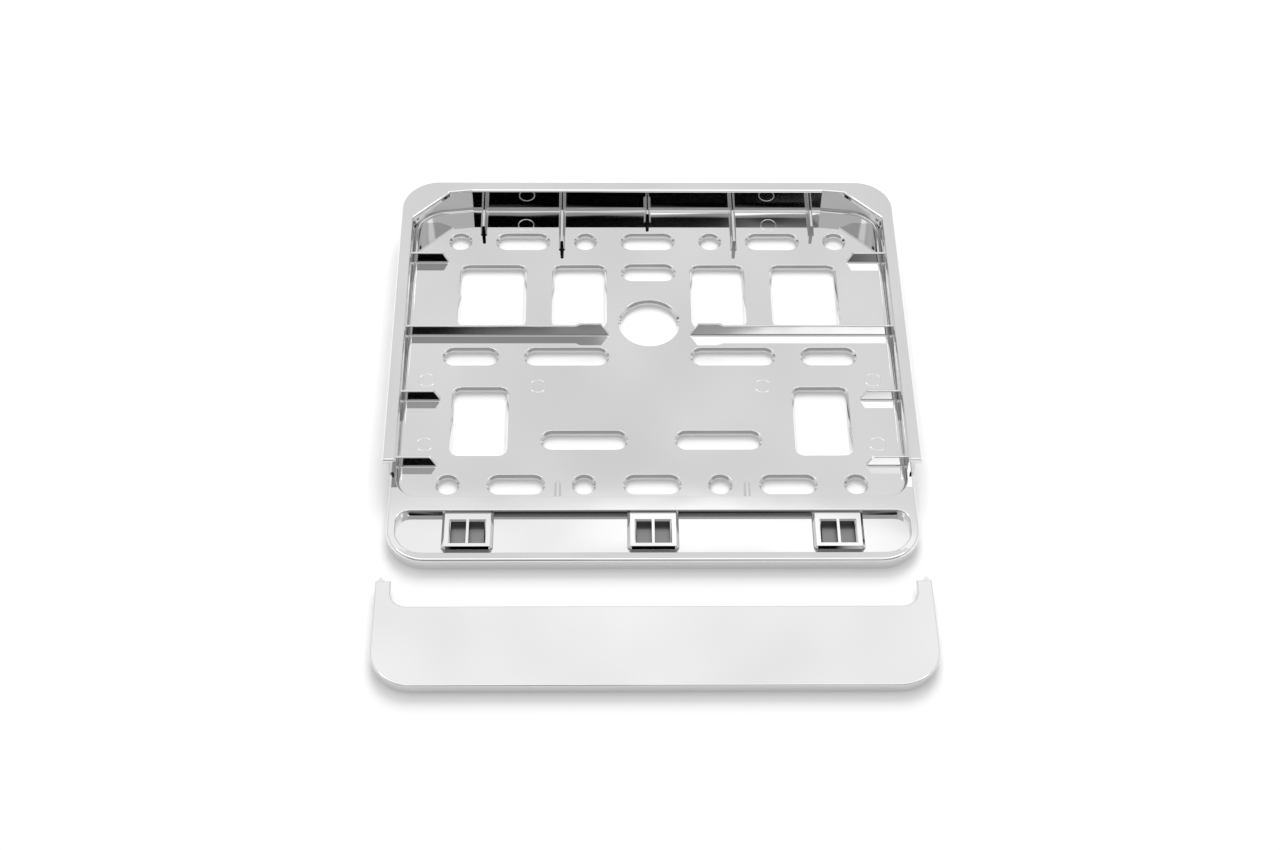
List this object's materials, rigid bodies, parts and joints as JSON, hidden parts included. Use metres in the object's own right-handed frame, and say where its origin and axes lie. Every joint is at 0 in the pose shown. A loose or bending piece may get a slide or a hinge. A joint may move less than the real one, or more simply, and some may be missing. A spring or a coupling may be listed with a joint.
{
  "type": "number plate holder",
  "caption": "Chrome-plated motorcycle number plate holder: a shallow flanged frame with a ribbed floor full of fixing slots, and a clip-on lower cover strip lying apart from it.",
  "frame": {"origin": "centre of the rectangle of fixing holes, on the flat back of the frame", "axes": "+Z out of the back towards the plate, +Y up the plate, +X to the right seen from the front"},
  "size_m": [0.2008, 0.2393, 0.014],
  "materials": {
    "plated_frame": "polished",
    "plated_strip": "polished"
  },
  "bodies": {
    "root": {"base_frame": "plated_frame", "cover_strip": "plated_strip"}
  },
  "joints": []
}
